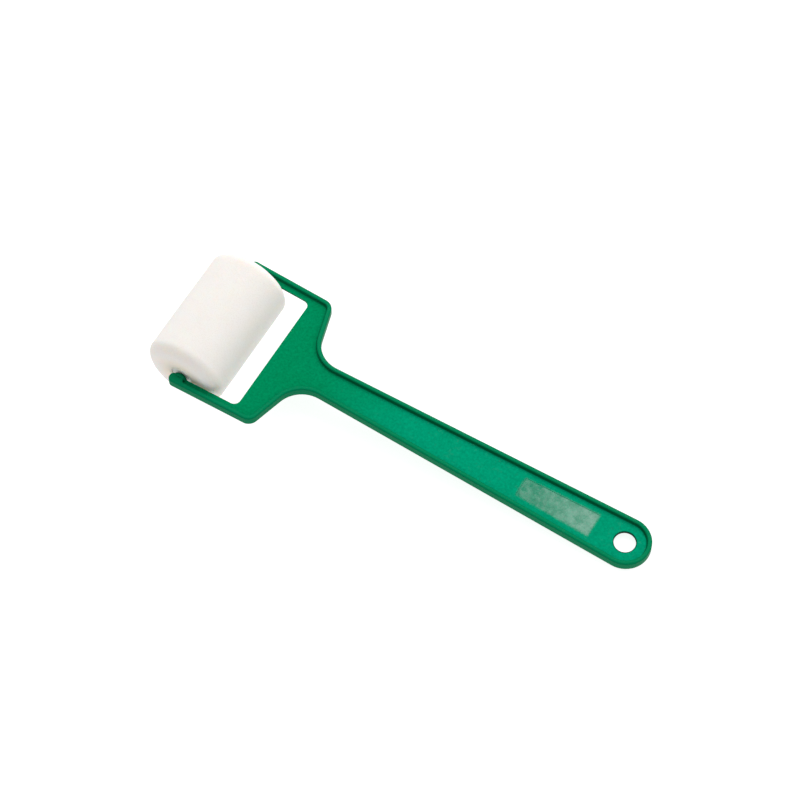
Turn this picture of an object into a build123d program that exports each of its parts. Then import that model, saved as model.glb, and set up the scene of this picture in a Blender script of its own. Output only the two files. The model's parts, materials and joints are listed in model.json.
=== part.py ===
from build123d import *

import math
import os

# A small foam-rubber hand roller: a one-piece moulded plastic fork handle, and a
# foam-covered roller that spins on two pins moulded inside the fork's arms.
#
# Everything is drawn flat first: the roller's axis is the Y axis, the handle runs
# along +X, and Z = 0 is the middle of the moulding's thickness. At the end it is
# laid down, so that the roller and the handle's end both touch the surface at Z = 0.
# All sizes are in millimetres.

# Roller
ROLLER_DIAMETER = 39.3
FOAM_LENGTH = 60.9
FOAM_EDGE_RADIUS = 4.5
ROLLER_SIDE_SHIFT = 0.70  # the roller has slid towards the -Y arm, within its end float

# Core of the roller: a tube with a bearing plug pressed into each end
CORE_LENGTH = 59.7  # over both plugs' flanges, so that the foam stands proud of them
CORE_DIAMETER = 10.4
CORE_BORE = 8.4
PLUG_FLANGE_THICKNESS = 1.2
PLUG_SPIGOT_LENGTH = 8.0
PLUG_CHAMFER = 0.4
BEARING_BORE = 4.0

# Fork head, seen from above
FORK_INSIDE_AT_THROAT = 31.15  # half-widths
FORK_INSIDE_AT_TIP = 31.85
FORK_OUTSIDE_AT_TIP = 36.6
FORK_OUTSIDE_AT_SHOULDER = 35.6
TIP_X = -4.3
TIP_OUTER_RADIUS = 2.3
TIP_INNER_RADIUS = 2.1
THROAT_X = 29.6  # back edge of the opening that the roller sits in
THROAT_RADIUS = 3.25
SHOULDER_X = 39.5
SHOULDER_RADIUS = 5.1
NECK_X = 47.4
NECK_HALF_WIDTH = 7.55
NECK_RADIUS = 14.0

# Handle
END_X = 211.95  # centre of the round end
END_RADIUS = 11.75
HANG_HOLE_X = 211.7
HANG_HOLE_DIAMETER = 10.0

# H-shaped section: a thin web with a rim along the outer edge, both sides alike
RIM_HEIGHT = 5.4
RIM_WIDTH = 2.2
WEB_THICKNESS = 1.2
SOLID_TIP_END_X = 2.4  # the arms have their full height from their tips to here
POCKET_CORNER_RADIUS = 1.2
RIM_EDGE_RADIUS = 0.9
POCKET_ROOT_RADIUS = 0.6

# Smooth blank panel in the upper face of the handle, tapering with the handle
PANEL_START_X = 158.9
PANEL_END_X = 196.0
PANEL_HALF_WIDTH_AT_START = 4.8
PANEL_HALF_WIDTH_AT_END = 5.85
PANEL_DEPTH = 0.15

# Bearing bosses and pins inside the arms
BOSS_DIAMETER = 6.4
BOSS_FACE_Y = 31.1
BOSS_ROOT_Y = 33.0
BOSS_CHAMFER = 0.3
PIN_DIAMETER = 3.9
PIN_LENGTH = 7.0
PIN_CHAMFER = 0.6

# Derived sizes
HALF_RIM = RIM_HEIGHT / 2
HALF_WEB = WEB_THICKNESS / 2
ROLLER_RADIUS = ROLLER_DIAMETER / 2
TUBE_LENGTH = CORE_LENGTH - 2 * PLUG_FLANGE_THICKNESS


def both_sides(points):
    """Closes an outline: the given points, then their mirror images in reverse."""
    return points + [(x, -y) for x, y in reversed(points)]


def corners_near(sketch, x):
    """The vertices of a sketch at one distance along the handle."""
    return sketch.vertices().filter_by_position(Axis.X, x - 0.1, x + 0.1)


def rod(diameter, start_y, end_y):
    """A cylinder on the roller's axis between two positions along Y."""
    middle = (start_y + end_y) / 2
    return Pos(0, middle, 0) * Rot(X=90) * Cylinder(diameter / 2, abs(end_y - start_y))


def slab(sketch, bottom, top):
    """A plan outline given thickness between two heights."""
    return Pos(0, 0, bottom) * extrude(sketch, amount=top - bottom)


def edges_at(solid, height):
    """The edges of a solid that lie in one horizontal plane."""
    return solid.edges().filter_by_position(Axis.Z, height - 0.01, height + 0.01)


def tip_corners(sketch):
    """The four corners at the arms' tips, the inner pair first."""
    return corners_near(sketch, TIP_X).sort_by(lambda corner: abs(corner.Y))


def inner_end(solid, side):
    """The end face of a rod that looks towards the middle of the roller."""
    faces = solid.faces().sort_by(Axis.Y)
    return faces[-1] if side < 0 else faces[0]


def outer_outline():
    """Plan of the handle and head, ignoring the opening for the roller."""
    run = END_X - NECK_X
    reach = math.hypot(run, NECK_HALF_WIDTH)
    lean = math.asin(END_RADIUS / reach) - math.atan2(NECK_HALF_WIDTH, run)
    touch = math.sqrt(reach**2 - END_RADIUS**2)
    side_end = (NECK_X + touch * math.cos(lean), NECK_HALF_WIDTH + touch * math.sin(lean))
    corners = [
        (TIP_X, FORK_OUTSIDE_AT_TIP),
        (SHOULDER_X, FORK_OUTSIDE_AT_SHOULDER),
        (NECK_X, NECK_HALF_WIDTH),
        side_end,
    ]
    outline = make_face(Polyline(*both_sides(corners), close=True))
    outline += Pos(END_X, 0) * Circle(END_RADIUS)
    outline = fillet(corners_near(outline, SHOULDER_X), SHOULDER_RADIUS)
    return fillet(corners_near(outline, NECK_X), NECK_RADIUS)


def roller_opening():
    """Plan of the space between the arms, running out past their tips."""
    beyond = 2 * TIP_X
    flare = (FORK_INSIDE_AT_TIP - FORK_INSIDE_AT_THROAT) / (THROAT_X - TIP_X)
    at_beyond = FORK_INSIDE_AT_TIP + flare * (TIP_X - beyond)
    corners = [(beyond, at_beyond), (THROAT_X, FORK_INSIDE_AT_THROAT)]
    opening = make_face(Polyline(*both_sides(corners), close=True))
    return fillet(corners_near(opening, THROAT_X), THROAT_RADIUS)


def pocket_outline():
    """Plan of the recess inside the rim, on the upper and the lower face alike."""
    inside = offset(outer_outline(), amount=-RIM_WIDTH)
    beyond = 3 * FORK_OUTSIDE_AT_TIP
    tips = Pos(SOLID_TIP_END_X, 0) * Rectangle(beyond, beyond, align=(Align.MAX, Align.CENTER))
    pocket = inside - tips
    return fillet(corners_near(pocket, SOLID_TIP_END_X), POCKET_CORNER_RADIUS)


def pocket():
    """The recess inside the upper rim, as a solid to cut away, its root rounded."""
    recess = slab(pocket_outline(), HALF_WEB, RIM_HEIGHT)
    return fillet(edges_at(recess, HALF_WEB), POCKET_ROOT_RADIUS)


def blank_panel():
    """The shallow smooth panel sunk in the handle's upper face, as a solid to cut away."""
    corners = [
        (PANEL_START_X, PANEL_HALF_WIDTH_AT_START),
        (PANEL_END_X, PANEL_HALF_WIDTH_AT_END),
    ]
    plan = make_face(Polyline(*both_sides(corners), close=True))
    return slab(plan, HALF_WEB - PANEL_DEPTH, HALF_RIM)


def bearing_pin(side):
    """The boss and the pin inside one arm; side is -1 or 1 along Y."""
    boss = rod(BOSS_DIAMETER, side * BOSS_ROOT_Y, side * BOSS_FACE_Y)
    boss = chamfer(inner_end(boss, side).edges(), BOSS_CHAMFER)
    pin = rod(PIN_DIAMETER, side * BOSS_ROOT_Y, side * (BOSS_FACE_Y - PIN_LENGTH))
    pin = chamfer(inner_end(pin, side).edges(), PIN_CHAMFER)
    return boss + pin


def handle_frame():
    """The one-piece moulding: handle, fork head, arms, bosses and pins."""
    plan = outer_outline() - roller_opening()
    plan = fillet(tip_corners(plan)[2:], TIP_OUTER_RADIUS)
    plan = fillet(tip_corners(plan)[:2], TIP_INNER_RADIUS)
    plan -= Pos(HANG_HOLE_X, 0) * Circle(HANG_HOLE_DIAMETER / 2)
    body = slab(plan, -HALF_RIM, HALF_RIM)
    body -= pocket()
    body -= mirror(pocket(), Plane.XY)
    for face_height in (HALF_RIM, -HALF_RIM):
        body = fillet(edges_at(body, face_height), RIM_EDGE_RADIUS)
    body -= blank_panel()
    for side in (-1, 1):
        body += bearing_pin(side)
    return body


def foam_sleeve():
    """The foam cylinder, bonded over the core and a little longer than it."""
    sleeve = rod(ROLLER_DIAMETER, -FOAM_LENGTH / 2, FOAM_LENGTH / 2)
    sleeve = fillet(sleeve.edges().filter_by(GeomType.CIRCLE), FOAM_EDGE_RADIUS)
    return sleeve - rod(CORE_DIAMETER, -FOAM_LENGTH, FOAM_LENGTH)


def core_tube():
    """The tube that carries the foam, between the two plugs' flanges."""
    tube = rod(CORE_DIAMETER, -TUBE_LENGTH / 2, TUBE_LENGTH / 2)
    return tube - rod(CORE_BORE, -TUBE_LENGTH, TUBE_LENGTH)


def end_plug(side):
    """A flanged plug, pressed into the tube, that turns on a pin; side is -1 or 1 along Y."""
    face = side * CORE_LENGTH / 2
    shoulder = side * TUBE_LENGTH / 2
    inner = side * (TUBE_LENGTH / 2 - PLUG_SPIGOT_LENGTH)
    spigot = rod(CORE_BORE, face, inner)
    spigot = chamfer(inner_end(spigot, side).edges(), PLUG_CHAMFER)
    plug = rod(CORE_DIAMETER, face, shoulder) + spigot
    return plug - rod(BEARING_BORE, 2 * face, 0)


def lying_angle():
    """Tilt, in degrees, at which the roller and the handle's end touch one surface."""
    low_x = END_X + END_RADIUS - RIM_EDGE_RADIUS
    low_z = HALF_RIM - RIM_EDGE_RADIUS
    drop = ROLLER_RADIUS - RIM_EDGE_RADIUS
    return math.degrees(math.asin(drop / math.hypot(low_x, low_z)) - math.atan2(low_z, low_x))


def main():
    os.makedirs("parts", exist_ok=True)
    slid = Pos(0, -ROLLER_SIDE_SHIFT, 0)
    pieces = {
        "handle_frame": handle_frame(),
        "foam_sleeve": slid * foam_sleeve(),
        "core_tube": slid * core_tube(),
        "left_end_plug": slid * end_plug(-1),
        "right_end_plug": slid * end_plug(1),
    }
    # Laid down, then moved so that the origin is under the middle of the whole object.
    lying = Rot(Y=lying_angle())
    low_x = -ROLLER_RADIUS
    high_x = (lying * pieces["handle_frame"]).bounding_box().max.X
    placed = Pos(-(low_x + high_x) / 2, 0, ROLLER_RADIUS) * lying
    for name, piece in pieces.items():
        export_step(placed * piece, f"parts/{name}.step")

    spots = {
        "roller axis": (0, 0, 0),
        "hang hole": (HANG_HOLE_X, 0, 0),
        "throat": (THROAT_X, 0, 0),
    }
    print("lying angle", round(lying_angle(), 4), "degrees")
    for name, spot in spots.items():
        where = (placed * Pos(*spot)).position
        print(name, [round(value, 3) for value in where])


main()
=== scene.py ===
"""Looks of a foam-rubber hand roller: a green moulded fork handle and an off-white foam roller."""

import json
import math

import bpy
from mathutils import Matrix, Vector, noise


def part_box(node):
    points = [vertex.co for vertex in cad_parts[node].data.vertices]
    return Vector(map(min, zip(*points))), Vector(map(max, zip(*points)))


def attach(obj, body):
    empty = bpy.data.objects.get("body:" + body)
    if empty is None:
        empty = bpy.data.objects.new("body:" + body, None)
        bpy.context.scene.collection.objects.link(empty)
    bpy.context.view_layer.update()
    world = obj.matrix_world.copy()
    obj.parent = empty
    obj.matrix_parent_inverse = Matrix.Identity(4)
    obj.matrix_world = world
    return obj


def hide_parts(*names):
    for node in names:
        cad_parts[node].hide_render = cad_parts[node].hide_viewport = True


MM = 0.001
SEED = 7

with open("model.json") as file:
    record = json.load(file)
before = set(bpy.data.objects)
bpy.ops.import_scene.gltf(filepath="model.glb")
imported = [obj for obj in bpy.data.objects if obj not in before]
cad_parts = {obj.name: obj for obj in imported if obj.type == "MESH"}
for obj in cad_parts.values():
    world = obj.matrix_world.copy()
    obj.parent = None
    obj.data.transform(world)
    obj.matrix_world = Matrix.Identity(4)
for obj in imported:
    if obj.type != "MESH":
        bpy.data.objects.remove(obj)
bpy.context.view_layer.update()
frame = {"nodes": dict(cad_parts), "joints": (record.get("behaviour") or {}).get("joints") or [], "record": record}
record = frame["record"]
joint = frame["joints"][0]
hang_hole = record["mounts"][0]

# ---------------------------------------------------------------- the lie of the handle
# The flat middle plane of the moulding runs through the roller's axis, tilted about Y.
AXIS_POINT = Vector(joint["pos_m"])
HANG_HOLE = Vector(hang_hole["pos_m"])
SIDEWAYS = Vector((0, 1, 0))
HANDLE_UP = Vector(hang_hole["axis"]).normalized()
HANDLE_ALONG = SIDEWAYS.cross(HANDLE_UP).normalized()

# ---------------------------------------------------------------- camera
CAMERA_AZIMUTH = 37.14
CAMERA_ELEVATION = 59.24
CAMERA_ROLL = -6.925
CAMERA_DISTANCE = 1.4
CAMERA_AIM = Vector((-0.00948, 0.00714, 0.01826))
CAMERA_LENS = 140.76  # millimetres, like the sensor's width
CAMERA_SENSOR = 36
CAMERA_NEAREST = 0.05
CAMERA_FARTHEST = 50


def direction(azimuth, elevation):
    """The unit vector towards a point at an azimuth and an elevation, in degrees."""
    a = math.radians(azimuth)
    e = math.radians(elevation)
    return Vector((math.sin(a) * math.cos(e), -math.cos(a) * math.cos(e), math.sin(e)))


def make_camera():
    data = bpy.data.cameras.new("camera")
    data.lens = CAMERA_LENS
    data.sensor_width = CAMERA_SENSOR
    data.clip_start = CAMERA_NEAREST
    data.clip_end = CAMERA_FARTHEST
    camera = bpy.data.objects.new("camera", data)
    bpy.context.scene.collection.objects.link(camera)
    back = direction(CAMERA_AZIMUTH, CAMERA_ELEVATION)
    camera.location = CAMERA_AIM + back * CAMERA_DISTANCE
    turn = (-back).to_track_quat("-Z", "Y").to_matrix()
    roll = Matrix.Rotation(math.radians(CAMERA_ROLL), 3, "Z")
    camera.rotation_euler = (turn @ roll).to_euler()
    bpy.context.scene.camera = camera


make_camera()

# ---------------------------------------------------------------- node helpers
# Where the Mix node keeps its two inputs and its result, for numbers and for colours.
MIX_SOCKETS = {"FLOAT": (2, 3, 0), "RGBA": (6, 7, 2)}


def new_material(name):
    material = bpy.data.materials.new(name)
    material.use_nodes = True
    tree = material.node_tree
    tree.nodes.clear()
    output = tree.nodes.new("ShaderNodeOutputMaterial")
    shader = tree.nodes.new("ShaderNodeBsdfPrincipled")
    tree.links.new(shader.outputs["BSDF"], output.inputs["Surface"])
    return material, tree, shader


def plug(tree, value, socket):
    """Sets a socket from a number, a vector, a colour or another node's output."""
    if isinstance(value, bpy.types.NodeSocket):
        tree.links.new(value, socket)
    else:
        socket.default_value = value


def math_node(tree, operation, *values, clamp=False):
    """The result of a Math node with the given inputs."""
    node = tree.nodes.new("ShaderNodeMath")
    node.operation = operation
    node.use_clamp = clamp
    for value, socket in zip(values, node.inputs):
        plug(tree, value, socket)
    return node.outputs[0]


def multiply_add(tree, value, factor, added):
    return math_node(tree, "MULTIPLY_ADD", value, factor, added)


def inverse(tree, mask):
    """0 where a mask is 1, and 1 where it is 0."""
    return math_node(tree, "SUBTRACT", 1.0, mask)


def ramp_between(tree, value, low, high):
    """0 below low, 1 above high, smooth between."""
    node = tree.nodes.new("ShaderNodeMapRange")
    node.interpolation_type = "SMOOTHSTEP"
    node.inputs["From Min"].default_value = low
    node.inputs["From Max"].default_value = high
    plug(tree, value, node.inputs["Value"])
    return node.outputs["Result"]


def mix(tree, kind, factor, a, b):
    """Mix of two numbers ("FLOAT") or colours ("RGBA")."""
    node = tree.nodes.new("ShaderNodeMix")
    node.data_type = kind
    first, second, result = MIX_SOCKETS[kind]
    plug(tree, factor, node.inputs[0])
    plug(tree, a, node.inputs[first])
    plug(tree, b, node.inputs[second])
    return node.outputs[result]


def vector_node(tree, operation, *values):
    """A Vector Math node with the given inputs."""
    node = tree.nodes.new("ShaderNodeVectorMath")
    node.operation = operation
    for value, socket in zip(values, node.inputs):
        plug(tree, value, socket)
    return node


def scaled(tree, colour, factor):
    """A colour made lighter or darker by a factor."""
    node = vector_node(tree, "SCALE", colour)
    plug(tree, factor, node.inputs["Scale"])
    return node.outputs["Vector"]


def length_of(tree, vector):
    return vector_node(tree, "LENGTH", vector).outputs["Value"]


def dot_with(tree, vector, axis):
    return vector_node(tree, "DOT_PRODUCT", vector, axis).outputs["Value"]


def away_from(tree, place, point):
    """The vector to a place from a point."""
    return vector_node(tree, "SUBTRACT", place, point).outputs["Vector"]


def flattened(tree, vector, axis):
    """A vector with its part along an axis taken away."""
    part = vector_node(tree, "PROJECT", vector, axis).outputs["Vector"]
    return vector_node(tree, "SUBTRACT", vector, part).outputs["Vector"]


def object_place(tree):
    return tree.nodes.new("ShaderNodeTexCoord").outputs["Object"]


def object_normal(tree):
    return tree.nodes.new("ShaderNodeTexCoord").outputs["Normal"]


def noise_at(tree, vector, size, detail=2.0, roughness=0.5):
    """Noise whose lumps are about size metres across, from 0 to 1."""
    node = tree.nodes.new("ShaderNodeTexNoise")
    plug(tree, vector, node.inputs["Vector"])
    node.inputs["Scale"].default_value = 1 / size
    node.inputs["Detail"].default_value = detail
    node.inputs["Roughness"].default_value = roughness
    return node.outputs["Fac"]


def cells_at(tree, vector, size):
    """Distance to the nearest cell's centre, for cells about size metres across."""
    node = tree.nodes.new("ShaderNodeTexVoronoi")
    plug(tree, vector, node.inputs["Vector"])
    node.inputs["Scale"].default_value = 1 / size
    return node.outputs["Distance"]


def bump(tree, height, strength, depth):
    node = tree.nodes.new("ShaderNodeBump")
    node.inputs["Distance"].default_value = depth
    plug(tree, strength, node.inputs["Strength"])
    plug(tree, height, node.inputs["Height"])
    return node.outputs["Normal"]


# ---------------------------------------------------------------- green moulded plastic
# Distances along the moulding are from the roller's axis, distances aside are from the middle
# line, and heights are over the middle plane. A pair is where a smooth change starts and ends.
GREEN_HEAD = (0.0, 0.216, 0.081, 1)
GREEN_SHAFT = (0.0, 0.298, 0.162, 1)
GREEN_RIM = (0.0, 0.200, 0.082, 1)
# painted shade: the dark green on the recess's walls and root fillets, and on the bosses and pins
GREEN_WALL_PAINTED_SHADE = (0.0, 0.125, 0.052, 1)
# painted shade: a near-black green on the inside and the edge of the hang hole
HOLE_PAINTED_SHADE = (0.0, 0.030, 0.014, 1)  # the inside and the edge of the hang hole
EDGE_BLUR = 0.1 * MM

# rim and walls
# the painted shade on the walls reaches down over the root fillets to these heights
ROOT_HEIGHTS = (0.61 * MM, 0.73 * MM)  # just over the web
CROWN_HEIGHTS = (1.5 * MM, 2.3 * MM)
LEVEL_FACES = (0.45, 0.95)  # the normal's share along the moulding's own up
OUTER_FACES = (0.5 * MM, 2 * MM)  # how far the roller's middle lies behind the face's plane
OUTER_WALL_LIGHTNESS = 0.7
BOSS_REACH = 32.0 * MM  # the bosses and pins lie this near the middle line
BOSS_END = (5 * MM, 6 * MM)
HOLE_RADIUS = hang_hole["dims"]["r_mm"] * MM
HOLE_EDGE = (HOLE_RADIUS + 0.1 * MM, HOLE_RADIUS + 0.55 * MM)

# web
SHAFT_BLEND = (45 * MM, 110 * MM)  # from the head's colour to the shaft's
SHAFT_SHARE = 0.75
FLOW_SIZE = 14 * MM
FLOW_SHARE = 0.3
FLOW_SHIFT = -0.08
MOTTLE_SIZE = 1.1 * MM
MOTTLE_CONTRAST = 0.9
MOTTLE_LEAST = 0.55
GRAIN_SIZE = 0.35 * MM
GRAIN_DEPTH = 0.03 * MM
WEB_GRAIN = 0.55
SMOOTH_GRAIN = 0.1
WEB_ROUGHNESS = 0.46
WEB_ROUGHNESS_SPREAD = 0.18
SMOOTH_ROUGHNESS = 0.36
GREEN_SPECULAR = 0.012
GREEN_SPECULAR_TINT = (0.1, 1.0, 0.7, 1)

# panel and polish
PANEL_START = 158.9 * MM
PANEL_END = 196.0 * MM
PANEL_HALF_START = 4.8 * MM
PANEL_HALF_END = 5.85 * MM
PANEL_LEVEL = 0.25 * MM
PANEL_BLUR = 0.9 * MM
PANEL_DARKENING = 0.25
PATCH_SIZE = 5 * MM
PATCH_RANGE = (0.3, 0.7)
POLISH_LEAST = 0.05
POLISH_PATCHES = 0.5
POLISH_RISE = 0.45
RISE_MARGIN = 5 * MM
SCUFF_SIZE = 2.5 * MM
SCUFF_RANGE = (0.55, 0.75)
SCUFF_POLISH = 0.06
RIM_POLISH = 0.015
COAT_ROUGHNESS = 0.16
COAT_IOR = 1.8


def panel_mask(tree, along, aside, height):
    """1 on the polished panel, 0 elsewhere."""
    taper = (PANEL_HALF_END - PANEL_HALF_START) / (PANEL_END - PANEL_START)
    limit = multiply_add(tree, along, taper, PANEL_HALF_START - PANEL_START * taper)
    room = math_node(tree, "SUBTRACT", limit, aside)
    within = ramp_between(tree, room, -PANEL_BLUR, PANEL_BLUR)
    begun = ramp_between(tree, along, PANEL_START - PANEL_BLUR, PANEL_START + PANEL_BLUR)
    ended = ramp_between(tree, along, PANEL_END - PANEL_BLUR, PANEL_END + PANEL_BLUR)
    upper = ramp_between(tree, height, PANEL_LEVEL, PANEL_LEVEL + EDGE_BLUR)
    mask = math_node(tree, "MULTIPLY", within, begun)
    mask = math_node(tree, "MULTIPLY", mask, inverse(tree, ended))
    return math_node(tree, "MULTIPLY", mask, upper)


def crown_mask(tree, along, aside, above, flat, facing):
    """1 on the rim's crown, less on the outline's walls, 0 on inner walls, bosses and pins, where the shade is
    painted.
    """
    crown = math_node(tree, "MULTIPLY", ramp_between(tree, above, *CROWN_HEIGHTS), flat)
    # the outline's walls face away from the roller's middle, and get less painted shade than the recess's walls
    outer = ramp_between(tree, facing, *OUTER_FACES)
    outer = math_node(tree, "MULTIPLY", outer, OUTER_WALL_LIGHTNESS)
    outer = math_node(tree, "MULTIPLY", outer, inverse(tree, flat))
    crown = math_node(tree, "MAXIMUM", crown, outer)
    past_bosses = ramp_between(tree, along, *BOSS_END)
    outside = ramp_between(tree, aside, BOSS_REACH - EDGE_BLUR, BOSS_REACH)
    return math_node(tree, "MULTIPLY", crown, math_node(tree, "MAXIMUM", past_bosses, outside))


def web_colour(tree, place, shaft, panel):
    """Lighter along the shaft than in the head, with faint flow marks and mottling."""
    flow = noise_at(tree, place, FLOW_SIZE, detail=3)
    mottle = noise_at(tree, place, MOTTLE_SIZE, detail=3, roughness=0.65)
    flow_tone = multiply_add(tree, flow, FLOW_SHARE, FLOW_SHIFT)
    tone = multiply_add(tree, shaft, SHAFT_SHARE, flow_tone)
    tone = math_node(tree, "ADD", tone, 0.0, clamp=True)
    web = mix(tree, "RGBA", tone, GREEN_HEAD, GREEN_SHAFT)
    web = scaled(tree, web, multiply_add(tree, mottle, MOTTLE_CONTRAST, MOTTLE_LEAST))
    return scaled(tree, web, multiply_add(tree, panel, -PANEL_DARKENING, 1.0))


def polish(tree, place, along, shaft, rim, panel):
    """The mould's polish: patchy on the panel, with a few faint scuffs and a trace on the rim."""
    lumps = noise_at(tree, place, PATCH_SIZE, detail=4, roughness=0.7)
    patches = ramp_between(tree, lumps, *PATCH_RANGE)
    rise = ramp_between(tree, along, PANEL_START - RISE_MARGIN, PANEL_END + RISE_MARGIN)
    patchy = multiply_add(tree, patches, POLISH_PATCHES, POLISH_LEAST)
    gloss = multiply_add(tree, rise, POLISH_RISE, patchy)
    gloss = math_node(tree, "MULTIPLY", gloss, panel)
    scratches = noise_at(tree, place, SCUFF_SIZE, detail=4, roughness=0.7)
    scuffs = ramp_between(tree, scratches, *SCUFF_RANGE)
    scuffs = math_node(tree, "MULTIPLY", scuffs, shaft)
    gloss = multiply_add(tree, scuffs, SCUFF_POLISH, gloss)
    return multiply_add(tree, rim, RIM_POLISH, gloss)


def green_plastic():
    """Moulded plastic: finely grained web, smoother rim, polished panel, with painted shade on the recess walls,
    bosses and pins, and in the hang hole.
    """
    material, tree, shader = new_material("green_plastic")
    place = object_place(tree)
    normal = object_normal(tree)
    local = away_from(tree, place, AXIS_POINT)
    along = dot_with(tree, local, HANDLE_ALONG)
    aside = math_node(tree, "ABSOLUTE", dot_with(tree, local, SIDEWAYS))
    height = dot_with(tree, local, HANDLE_UP)
    above = math_node(tree, "ABSOLUTE", height)
    upright = math_node(tree, "ABSOLUTE", dot_with(tree, normal, HANDLE_UP))
    flat = ramp_between(tree, upright, *LEVEL_FACES)
    raised = ramp_between(tree, above, *ROOT_HEIGHTS)
    rim = math_node(tree, "MAXIMUM", raised, inverse(tree, flat))
    panel = panel_mask(tree, along, aside, height)
    shaft = ramp_between(tree, along, *SHAFT_BLEND)

    facing = dot_with(tree, normal, local)
    crown = crown_mask(tree, along, aside, above, flat, facing)
    # the rim's crown colour, with painted shade on the walls, root fillets, bosses and pins
    edge = mix(tree, "RGBA", crown, GREEN_WALL_PAINTED_SHADE, GREEN_RIM)
    green = mix(tree, "RGBA", rim, web_colour(tree, place, shaft, panel), edge)
    # painted shade in and around the hang hole
    from_hole = flattened(tree, away_from(tree, place, HANG_HOLE), HANDLE_UP)
    past_hole = ramp_between(tree, length_of(tree, from_hole), *HOLE_EDGE)
    plug(tree, mix(tree, "RGBA", past_hole, HOLE_PAINTED_SHADE, green), shader.inputs["Base Color"])

    smooth = math_node(tree, "MAXIMUM", rim, panel)
    grain = noise_at(tree, place, GRAIN_SIZE, detail=3, roughness=0.6)
    rough = multiply_add(tree, grain, WEB_ROUGHNESS_SPREAD, WEB_ROUGHNESS)
    plug(tree, mix(tree, "FLOAT", smooth, rough, SMOOTH_ROUGHNESS), shader.inputs["Roughness"])
    strength = multiply_add(tree, smooth, SMOOTH_GRAIN - WEB_GRAIN, WEB_GRAIN)
    plug(tree, bump(tree, grain, strength, GRAIN_DEPTH), shader.inputs["Normal"])
    shader.inputs["Specular IOR Level"].default_value = GREEN_SPECULAR
    shader.inputs["Specular Tint"].default_value = GREEN_SPECULAR_TINT

    gloss = polish(tree, place, along, shaft, rim, panel)
    plug(tree, gloss, shader.inputs["Coat Weight"])
    shader.inputs["Coat Roughness"].default_value = COAT_ROUGHNESS
    shader.inputs["Coat IOR"].default_value = COAT_IOR
    return material


# ---------------------------------------------------------------- foam rubber
FOAM_LIGHT = (0.808, 0.784, 0.755, 1)
FOAM_DEEP = (0.740, 0.700, 0.648, 1)
# painted shade: a warmer, darker tone on the ends near the core
FOAM_PAINTED_SHADE = (0.810, 0.715, 0.575, 1)
PAINTED_SHADE_REACH = (4 * MM, 15 * MM)  # from the axis
CELL_SIZE = 0.55 * MM
CELL_RANGE = (0.05, 0.5)
CELL_SHARE = 0.75
CELL_BUMP = 0.35
CELL_DEPTH = 0.08 * MM
CLOUD_SIZE = 9 * MM
CLOUD_SHARE = 0.35
FOAM_ROUGHNESS = 0.95
FOAM_SPECULAR = 0.2
SCATTER_SHARE = 0.7
SCATTER_RADIUS = (8.0 * MM, 5.5 * MM, 3.8 * MM)  # red, green and blue


def foam_rubber():
    """Fine open-cell foam, with darker pores and a soft scattering body."""
    material, tree, shader = new_material("foam_rubber")
    place = object_place(tree)
    cells = ramp_between(tree, cells_at(tree, place, CELL_SIZE), *CELL_RANGE)
    cloud = noise_at(tree, place, CLOUD_SIZE, detail=3)
    cell_tone = math_node(tree, "MULTIPLY", cells, CELL_SHARE)
    cloud_tone = math_node(tree, "MULTIPLY", cloud, CLOUD_SHARE)
    tone = math_node(tree, "ADD", cell_tone, cloud_tone, clamp=True)
    colour = mix(tree, "RGBA", tone, FOAM_DEEP, FOAM_LIGHT)
    # painted shade: the ends are warmer and a little darker towards the core
    across = flattened(tree, away_from(tree, place, AXIS_POINT), SIDEWAYS)
    past_painted_shade = ramp_between(tree, length_of(tree, across), *PAINTED_SHADE_REACH)
    plug(tree, mix(tree, "RGBA", past_painted_shade, FOAM_PAINTED_SHADE, colour), shader.inputs["Base Color"])
    plug(tree, bump(tree, cells, CELL_BUMP, CELL_DEPTH), shader.inputs["Normal"])
    shader.inputs["Roughness"].default_value = FOAM_ROUGHNESS
    shader.inputs["Specular IOR Level"].default_value = FOAM_SPECULAR
    shader.inputs["Subsurface Weight"].default_value = SCATTER_SHARE
    shader.inputs["Subsurface Radius"].default_value = SCATTER_RADIUS
    shader.inputs["Subsurface Scale"].default_value = 1.0
    return material


# ---------------------------------------------------------------- plastic of the core
CORE_DARK = (0.80, 0.79, 0.75, 1)
CORE_LIGHT = (0.86, 0.85, 0.81, 1)
CORE_HAZE_SIZE = 3 * MM
CORE_GRAIN_SIZE = 0.4 * MM
CORE_ROUGHNESS = 0.38
CORE_ROUGHNESS_SPREAD = 0.1


def white_plastic():
    """Natural-coloured tube and plug plastic."""
    material, tree, shader = new_material("core_plastic")
    place = object_place(tree)
    haze = noise_at(tree, place, CORE_HAZE_SIZE)
    plug(tree, mix(tree, "RGBA", haze, CORE_DARK, CORE_LIGHT), shader.inputs["Base Color"])
    grain = noise_at(tree, place, CORE_GRAIN_SIZE)
    rough = multiply_add(tree, grain, CORE_ROUGHNESS_SPREAD, CORE_ROUGHNESS)
    plug(tree, rough, shader.inputs["Roughness"])
    return material


def paint(obj, material):
    """One material in every slot of an object."""
    if not obj.data.materials:
        obj.data.materials.append(material)
    for index in range(len(obj.data.materials)):
        obj.data.materials[index] = material


nodes = frame["nodes"]
paint(nodes["handle_frame"], green_plastic())
core_material = white_plastic()
for name in ("core_tube", "left_end_plug", "right_end_plug"):
    paint(nodes[name], core_material)

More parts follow.
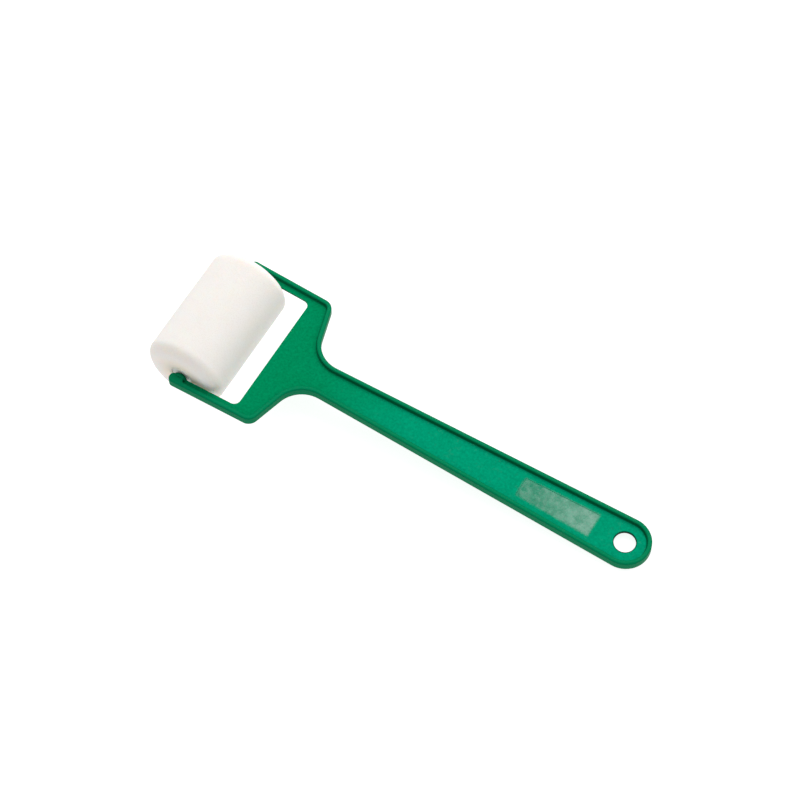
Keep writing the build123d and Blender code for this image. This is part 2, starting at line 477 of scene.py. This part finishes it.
# ---------------------------------------------------------------- foam covering
FOAM_EDGE_ALONG = 5.0 * MM  # the ends are rounded off as a quarter of an ellipse
FOAM_EDGE_ACROSS = 7.5 * MM
FOAM_MOUTH = 0.4 * MM
FOAM_LINING = 1.5 * MM  # how far the mesh goes into the bore
STEPS_AROUND = 360
SIDE_STEPS = 160
EDGE_STEPS = 24
FACE_STEPS = 16
MOUTH_STEPS = 3
BORE_MARGIN = 0.2 * MM  # nearer to the bore than this, the surface stays smooth
PORE_SIZE = 0.75 * MM
PORE_DEPTH = 0.09 * MM
PORE_REACH = 0.55  # of a pore's size
PIT_SHARE = 1.6
FINE_SIZE = 0.5 * MM
FINE_SHARE = 0.5
SWELL_SIZE = 8 * MM
SWELL = 0.12 * MM


def foam_profile(radius, bore, half):
    """Points (along the axis, radius) from inside one end of the bore to inside the other."""
    points = [(-half + FOAM_LINING, bore)]
    for i in range(MOUTH_STEPS + 1):
        t = math.pi / 2 * i / MOUTH_STEPS
        along = -half + FOAM_MOUTH * (1 - math.sin(t))
        points.append((along, bore + FOAM_MOUTH * (1 - math.cos(t))))
    low, high = bore + FOAM_MOUTH, radius - FOAM_EDGE_ACROSS
    for i in range(1, FACE_STEPS):
        points.append((-half, low + (high - low) * i / FACE_STEPS))
    for i in range(EDGE_STEPS + 1):
        t = math.pi / 2 * i / EDGE_STEPS
        along = -half + FOAM_EDGE_ALONG * (1 - math.cos(t))
        points.append((along, high + FOAM_EDGE_ACROSS * math.sin(t)))
    side = 2 * (half - FOAM_EDGE_ALONG)
    for i in range(1, SIDE_STEPS // 2 + 1):
        points.append((-half + FOAM_EDGE_ALONG + side * i / SIDE_STEPS, radius))
    mirror_points = [(-y, r) for y, r in reversed(points[:-1])]
    return points + mirror_points


def turned(profile, centre):
    """The corners and faces of a profile turned about the roller's axis."""
    corners = []
    for y, r in profile:
        for k in range(STEPS_AROUND):
            t = 2 * math.pi * k / STEPS_AROUND
            corners.append(centre + Vector((r * math.cos(t), y, r * math.sin(t))))
    faces = []
    for i in range(len(profile)):
        this_row = i * STEPS_AROUND
        next_row = (i + 1) % len(profile) * STEPS_AROUND
        for k in range(STEPS_AROUND):
            m = (k + 1) % STEPS_AROUND
            faces.append((this_row + k, next_row + k, next_row + m, this_row + m))
    return corners, faces


def dent_at(place):
    """How deep the foam's pores and its slow unevenness go at a place on its surface."""
    offset = Vector((SEED, SEED, SEED))
    distances = noise.voronoi(place / PORE_SIZE + offset)[0]
    pit = max(0.0, 1 - distances[0] / PORE_REACH)
    slow = noise.noise(place / SWELL_SIZE + offset)
    fine = noise.noise(place / FINE_SIZE + offset)
    pores = PIT_SHARE * pit * pit + FINE_SHARE * (1 + fine) / 2
    return PORE_DEPTH * pores + SWELL * (1 - slow) / 2


def make_foam():
    low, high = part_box("foam_sleeve")
    centre = (low + high) / 2
    half = (high.y - low.y) / 2
    radius = (high.z - low.z) / 2
    plug_low, plug_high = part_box("left_end_plug")
    bore = (plug_high.z - plug_low.z) / 2
    corners, faces = turned(foam_profile(radius, bore, half), centre)
    mesh = bpy.data.meshes.new("foam_covering")
    mesh.from_pydata(corners, [], faces)
    mesh.update()
    normals = [Vector(corner.normal) for corner in mesh.vertices]
    for corner, normal in zip(mesh.vertices, normals):
        from_axis = math.hypot(corner.co.x - centre.x, corner.co.z - centre.z)
        if from_axis >= bore + BORE_MARGIN:
            corner.co -= normal * dent_at(corner.co)
    for polygon in mesh.polygons:
        polygon.use_smooth = True
    foam = bpy.data.objects.new("foam_covering", mesh)
    bpy.context.scene.collection.objects.link(foam)
    return foam


foam = make_foam()
foam.data.materials.append(foam_rubber())
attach(foam, "roller")
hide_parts("foam_sleeve")

# ---------------------------------------------------------------- studio
FLOOR_REACH = 6.0
FLOOR_DARK = (0.34, 0.34, 0.34, 1)
FLOOR_LIGHT = (0.36, 0.36, 0.36, 1)
FLOOR_HAZE_SIZE = 0.4
FLOOR_ROUGHNESS = 0.9
FLOOR_SPECULAR = 0.1
FLOOR_GLOW = 0.85
WHITE = (1, 1, 1, 1)
WORLD_STRENGTH = 0.62


def make_floor():
    """A pale table that glows by itself, so that it is white beside the object."""
    material, tree, shader = new_material("floor_paper")
    haze = noise_at(tree, object_place(tree), FLOOR_HAZE_SIZE)
    plug(tree, mix(tree, "RGBA", haze, FLOOR_DARK, FLOOR_LIGHT), shader.inputs["Base Color"])
    shader.inputs["Roughness"].default_value = FLOOR_ROUGHNESS
    shader.inputs["Specular IOR Level"].default_value = FLOOR_SPECULAR
    shader.inputs["Emission Color"].default_value = WHITE
    shader.inputs["Emission Strength"].default_value = FLOOR_GLOW
    mesh = bpy.data.meshes.new("floor")
    around = ((-1, -1), (1, -1), (1, 1), (-1, 1))
    mesh.from_pydata([(x * FLOOR_REACH, y * FLOOR_REACH, 0) for x, y in around], [], [(0, 1, 2, 3)])
    floor = bpy.data.objects.new("floor", mesh)
    bpy.context.scene.collection.objects.link(floor)
    floor.data.materials.append(material)


def soft_light(name, azimuth, elevation, distance, width, height, brightness):
    """A white softbox that looks at the object, as bright all over as brightness says."""
    data = bpy.data.lights.new(name, "AREA")
    data.shape = "RECTANGLE"
    data.size = width
    data.size_y = height
    data.energy = brightness * math.pi * width * height
    light = bpy.data.objects.new(name, data)
    bpy.context.scene.collection.objects.link(light)
    towards = direction(azimuth, elevation)
    light.location = towards * distance
    light.rotation_euler = (-towards).to_track_quat("-Z", "Y").to_euler()


def make_world():
    world = bpy.data.worlds.new("studio")
    world.use_nodes = True
    background = world.node_tree.nodes["Background"]
    background.inputs["Color"].default_value = WHITE
    background.inputs["Strength"].default_value = WORLD_STRENGTH
    bpy.context.scene.world = world


make_floor()
make_world()
soft_light(
    "key",
    azimuth=184,
    elevation=60,
    distance=1.6,
    width=2.3,
    height=1.3,
    brightness=2.35,
)
bpy.context.scene.view_settings.view_transform = "Standard"
